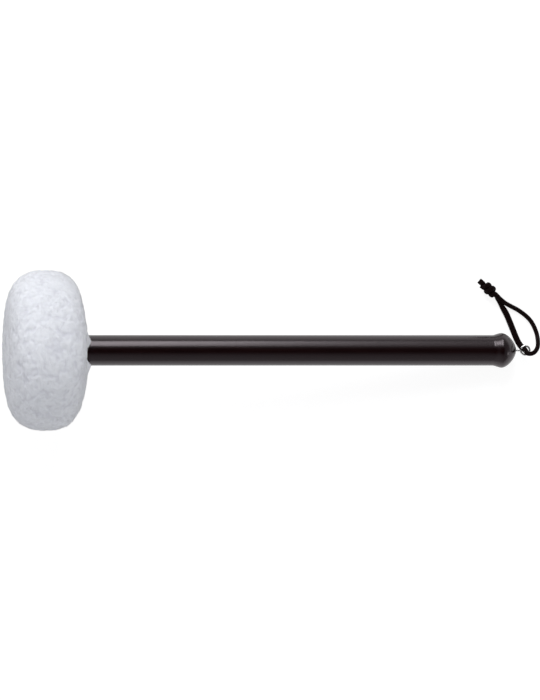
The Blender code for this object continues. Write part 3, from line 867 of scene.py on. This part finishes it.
def cord_frame():
    """At each step, the cord's two half widths, its flat side's direction and its thin one, and
    its yarns' size next to those of the round leg.

    The thin direction is up along the legs and away from the core strand in the windings. The first
    leg is flat, the second one round, and the knot squeezes both. Widths run evenly between stations.
    """
    ahead = np.gradient(cord_line, axis=0)
    ahead /= np.linalg.norm(ahead, axis=1, keepdims=True)
    from_core = cord_line - knot_middle
    from_core = from_core - (from_core @ knot_forward)[:, None] * knot_forward
    from_core /= np.maximum(np.linalg.norm(from_core, axis=1, keepdims=True), 1e-4)
    wound = smooth_step((cord_s - (winding_start - WINDING_LEAD)) / WINDING_EASE)[:, None]
    thin = (1 - wound) * [0.0, 0.0, 1.0] + wound * from_core
    thin = thin - (thin * ahead).sum(1, keepdims=True) * ahead
    thin /= np.linalg.norm(thin, axis=1, keepdims=True)
    flat = np.cross(ahead, thin)
    stations = (
        (0.0, TAIL_HALF_WIDTHS),
        (LONG_TAIL - TAIL_TO_CORE[0], TAIL_HALF_WIDTHS),
        (LONG_TAIL + TAIL_TO_CORE[1], CORE_HALF_WIDTHS),
        (LONG_TAIL + KNOT_LENGTH, CORE_HALF_WIDTHS),
        (LONG_TAIL + KNOT_LENGTH + CORE_TO_FLAT, FLAT_HALF_WIDTHS),
        (cord_s[ring_row] - FLAT_TO_ROUND[0], FLAT_HALF_WIDTHS),
        (cord_s[ring_row] + FLAT_TO_ROUND[1], ROUND_HALF_WIDTHS),
        (winding_start - ROUND_TO_KNOT, ROUND_HALF_WIDTHS),
        (winding_start, KNOT_HALF_WIDTHS),
        (winding_start + wound_length, KNOT_HALF_WIDTHS),
        (cord_length, TAIL_HALF_WIDTHS),
    )
    along, widths = zip(*stations)
    half_flat, half_thin = (np.interp(cord_s, along, halves) for halves in zip(*widths))
    return half_flat, half_thin, flat, thin, np.sqrt(half_flat * half_thin) / ROUND_HALF_WIDTHS[0]


half_flat, half_thin, flat_way, thin_way, squeeze = cord_frame()


def closed_ends(count):
    """A size for each row of a strand: 1, but 0 at its two ends, which closes them."""
    size = np.ones(count)
    size[[0, -1]] = 0.0
    return size


def yarn_grids(rows):
    """The sixteen yarns over some rows of the cord: eight turning each way, over one and under one.

    Yarn k stands at the angle 2 pi (k / 8 +- s / pitch) round the oval, and it rises and dips by half
    its thickness times cos(8 * 2 pi s / pitch), which is opposite for the two ways of turning.
    """
    s = cord_s[rows]
    way = np.repeat([1.0, -1.0], YARNS_EACH_WAY)[:, None]
    start = np.tile(np.arange(YARNS_EACH_WAY), 2)[:, None] / YARNS_EACH_WAY
    angle = 2 * math.pi * (start + way * s / BRAID_PITCH)
    over = way * np.cos(YARNS_EACH_WAY * 2 * math.pi * s / BRAID_PITCH)
    narrow = squeeze[rows]
    sink = narrow * YARN_HALF_THICKNESS * (2.0 - over)
    cos, sin = np.cos(angle), np.sin(angle)
    across = (half_flat[rows] - sink) * cos
    above = (half_thin[rows] - sink) * sin
    flat, thin = flat_way[rows], thin_way[rows]
    middle = cord_line[rows] + across[..., None] * flat + above[..., None] * thin
    out = (cos / half_flat[rows])[..., None] * flat + (sin / half_thin[rows])[..., None] * thin
    out /= np.linalg.norm(out, axis=-1, keepdims=True)
    ahead = np.gradient(middle, axis=1)
    side = np.cross(ahead, out)
    side /= np.linalg.norm(side, axis=-1, keepdims=True)
    t = np.linspace(0, 2 * math.pi, YARN_SIDES, endpoint=False)[:, None]
    size = (narrow * closed_ends(len(s)))[:, None, None]
    wide = YARN_HALF_WIDTH * np.cos(t) * side[:, :, None]
    high = YARN_HALF_THICKNESS * np.sin(t) * out[:, :, None]
    return middle[:, :, None] + size * (wide + high)


def core_grid(rows, sealed_end):
    """The cord's core under the yarns, swelling into a rounded, heat-sealed tip at its free end.

    It is the cord's oval less a depth, which is counted in half thicknesses of a yarn. Near the free
    end a smooth step takes the depth to nothing, and a quarter circle rounds off the tip.
    """
    s = cord_s[rows]
    t = np.linspace(0, 2 * math.pi, CORE_COLUMNS, endpoint=False)[:, None]
    from_tip = np.abs(s - s[sealed_end])
    swollen = smooth_step(1 - from_tip / TIP_SWELL)
    depth = CORE_DEPTH * YARN_HALF_THICKNESS * squeeze[rows] * (1 - swollen)
    dome = np.sqrt(1 - (1 - np.clip(from_tip / TIP_ROUNDING, 0, 1)) ** 2) * closed_ends(len(s))
    wide = ((half_flat[rows] - depth) * dome)[:, None, None]
    high = ((half_thin[rows] - depth) * dome)[:, None, None]
    flat, thin = flat_way[rows][:, None], thin_way[rows][:, None]
    return (cord_line[rows][:, None] + wide * np.cos(t) * flat + high * np.sin(t) * thin)[None]


def nylon_finish():
    """Black nylon: fine filaments along each yarn, a little greyer where they rub, and a dull gloss."""
    material, tree, shader = new_finish(
        "black_nylon",
        Specular_IOR_Level=0.10,
        Specular_Tint=(1.0, 0.6, 0.62, 1.0),
        Sheen_Weight=0.008,
        Sheen_Roughness=0.5,
    )
    place = add(tree, "ShaderNodeTexCoord").outputs["Object"]
    rub = add(tree, "ShaderNodeTexNoise", {"Vector": place, "Scale": 900.0, "Detail": 4.0})
    colour = ramp(tree, rub.outputs["Fac"], (0.35, NYLON), (0.7, NYLON_WORN))
    tree.links.new(colour, shader.inputs["Base Color"])
    tree.links.new(grade(tree, rub.outputs["Fac"], 0.5, 0.72), shader.inputs["Roughness"])
    filament = add(tree, "ShaderNodeTexNoise", {"Vector": place, "Scale": 5000.0, "Detail": 2.0})
    bump(tree, shader, filament.outputs["Fac"], 0.00004)
    return material


nylon = nylon_finish()
legs = (
    ("cord_leg_under_wire", slice(0, ring_row + 1), 0, 2 * FLAT_HALF_WIDTHS[0]),
    ("cord_leg_over_wire", slice(ring_row, len(cord_s)), -1, 2 * ROUND_HALF_WIDTHS[0]),
)
for name, rows, sealed_end, width in legs:
    leg = piece(name, skin(name, core_grid(rows, sealed_end), yarn_grids(rows)), nylon, "loop")
    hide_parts("wrist_cord")


# Table, light and camera: a white table, soft boxes along the far side, fills from the left and the
# near side, a small low lamp on the right, and a pale room that darkens overhead and to the right.
# The camera looks straight down from six metres.
PIXEL = 0.0007255
MALLET_PLANE = 0.035
CAMERA_HEIGHT = 6.0
CAMERA_SENSOR = 36.0
FRAME_TALL = 700
FRAME_CENTRE = (0.00243, 0.00025)
TABLE_SIZE = 12.0
TABLE_DROP = 0.0002
TABLE_COLOUR = (0.36, 0.36, 0.36, 1.0)
TABLE_GLOW = 0.82
ROOM_COLOURS = (
    (0.0, (0.50, 0.50, 0.51, 1.0)),
    (0.3, (0.46, 0.46, 0.47, 1.0)),
    (0.6, (0.42, 0.42, 0.43, 1.0)),
    (0.82, (0.26, 0.26, 0.27, 1.0)),
    (0.93, (0.0, 0.0, 0.0, 1.0)),
)
ROOM_STRENGTH = 1.07
ROOM_SLANT = -0.5


def table_finish():
    """White paper: plain diffuse with its own glow for the camera and for reflections."""
    material = bpy.data.materials.new("white_table")
    material.use_nodes = True
    tree = material.node_tree
    tree.nodes.remove(tree.nodes["Principled BSDF"])
    paper = add(tree, "ShaderNodeBsdfDiffuse", {"Color": TABLE_COLOUR})
    path = add(tree, "ShaderNodeLightPath")
    mirrored = add(
        tree,
        "ShaderNodeMath",
        {0: path.outputs["Is Glossy Ray"], 1: path.outputs["Is Transmission Ray"]},
        operation="MAXIMUM",
    )
    seen = add(
        tree,
        "ShaderNodeMath",
        {0: path.outputs["Is Camera Ray"], 1: mirrored.outputs[0]},
        operation="MAXIMUM",
    )
    level = grade(tree, seen.outputs[0], 0.0, TABLE_GLOW)
    glow = add(tree, "ShaderNodeEmission", {"Strength": level})
    both = add(tree, "ShaderNodeAddShader", {0: paper.outputs[0], 1: glow.outputs[0]})
    tree.links.new(both.outputs[0], tree.nodes["Material Output"].inputs["Surface"])
    return material


half_table = TABLE_SIZE / 2
table_mesh = bpy.data.meshes.new("table")
table_mesh.from_pydata(
    [(x * half_table, y * half_table, -TABLE_DROP) for x, y in ((-1, -1), (1, -1), (1, 1), (-1, 1))],
    [],
    [(0, 1, 2, 3)],
)
table_mesh.materials.append(table_finish())
table = bpy.data.objects.new("table", table_mesh)
bpy.context.scene.collection.objects.link(table)


def soft_box(name, centre, target, width, height, power, mirrored=True):
    """A rectangular area lamp that faces its target, and that gloss may or may not mirror."""
    lamp = bpy.data.lights.new(name, "AREA")
    lamp.shape = "RECTANGLE"
    lamp.size, lamp.size_y, lamp.energy = width, height, power
    made = bpy.data.objects.new(name, lamp)
    away = np.array(centre) - np.array(target)
    flat = math.hypot(away[0], away[1])
    made.location = centre
    made.visible_glossy = mirrored
    made.rotation_euler = (math.atan2(flat, away[2]), 0, math.atan2(away[1], away[0]) + math.pi / 2)
    bpy.context.scene.collection.objects.link(made)


soft_box("key", (0.16, 1.18, 0.92), (0.16, 0, 0), width=0.25, height=1.05, power=6.6)
soft_box("key_side", (-0.32, 1.18, 0.92), (-0.32, 0, 0), width=0.70, height=1.05, power=3.1)
soft_box("key_middle", (-0.30, 1.15, 0.90), (-0.32, 0, 0), width=0.30, height=0.60, power=3.3)
soft_box("right_edge", (1.4, -0.36, 0.24), (0.18, 0, 0), width=0.30, height=0.25, power=0.8)
soft_box("left_fill", (-1.42, 0.45, 0.5), (-0.15, 0, 0), width=0.80, height=0.80, power=3.7)
soft_box(
    "near_fill", (0.75, -1.1, 0.9), (0, 0, 0), width=1.0, height=1.0, power=7.6, mirrored=False
)

# The room's colour goes by height. Its strength is ROOM_STRENGTH + ROOM_SLANT x, less to the right.
world = bpy.data.worlds.new("pale_room")
bpy.context.scene.world = world
world.use_nodes = True
sky = world.node_tree
direction = add(sky, "ShaderNodeTexCoord").outputs["Generated"]
split = add(sky, "ShaderNodeSeparateXYZ", {"Vector": direction})
room = ramp(sky, split.outputs["Z"], *ROOM_COLOURS)
sky.links.new(room, sky.nodes["Background"].inputs["Color"])
level = add(
    sky,
    "ShaderNodeMath",
    {0: split.outputs["X"], 1: ROOM_SLANT, 2: ROOM_STRENGTH},
    operation="MULTIPLY_ADD",
)
sky.links.new(level.outputs[0], sky.nodes["Background"].inputs["Strength"])

camera = bpy.data.cameras.new("camera")
camera.lens = CAMERA_SENSOR * CAMERA_HEIGHT / (FRAME_TALL * PIXEL)
camera.sensor_width = CAMERA_SENSOR
camera_object = bpy.data.objects.new("camera", camera)
camera_object.location = (*FRAME_CENTRE, MALLET_PLANE + CAMERA_HEIGHT)
bpy.context.scene.collection.objects.link(camera_object)
bpy.context.scene.camera = camera_object
bpy.context.scene.view_settings.view_transform = "Standard"

bpy.context.view_layer.update()
